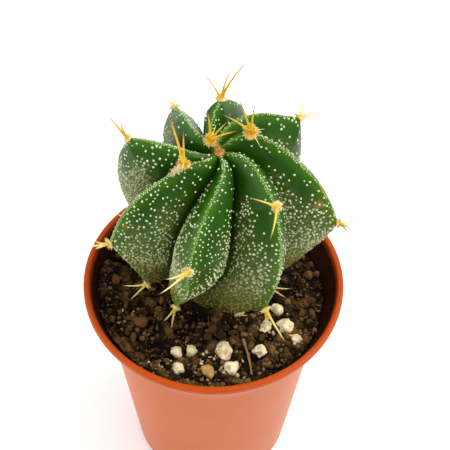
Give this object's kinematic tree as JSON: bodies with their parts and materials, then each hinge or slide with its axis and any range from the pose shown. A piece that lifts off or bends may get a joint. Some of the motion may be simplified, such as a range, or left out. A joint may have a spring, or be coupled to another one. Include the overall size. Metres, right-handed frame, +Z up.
{
  "type": "potted star cactus",
  "caption": "Small star cactus with twisted, white-flecked ribs and amber spines, standing in gritty soil in a thin round plastic nursery pot.",
  "frame": {"origin": "centre of the pot's flat underside, on the surface it stands on", "axes": "+Z up through the plant, -Y towards the side that faces the viewer in the picture, +X to that viewer's right"},
  "size_m": [0.0572, 0.0596, 0.105],
  "materials": {
    "pot_plastic": "satin moulded plastic, terracotta orange",
    "soil": "dark crumbly potting soil",
    "cactus_skin": "firm waxy skin with white flecks",
    "pumice": "rough porous pumice",
    "bark": "dry bark",
    "straw": "dry straw"
  },
  "bodies": {
    "root": {"pot": "pot_plastic", "soil": "soil", "cactus": "cactus_skin", "pumice_grain_01": "pumice", "pumice_grain_02": "pumice", "pumice_grain_03": "pumice", "pumice_grain_04": "pumice", "pumice_grain_05": "pumice", "pumice_grain_06": "pumice", "pumice_grain_07": "pumice", "pumice_grain_08": "pumice", "pumice_grain_09": "pumice", "pumice_grain_10": "pumice", "pumice_grain_11": "pumice", "pumice_grain_12": "pumice", "pumice_grain_13": "pumice", "pumice_grain_14": "pumice", "bark_chip_1": "bark", "bark_chip_2": "bark", "bark_chip_3": "bark", "bark_chip_4": "bark", "straw": "straw"}
  },
  "joints": []
}
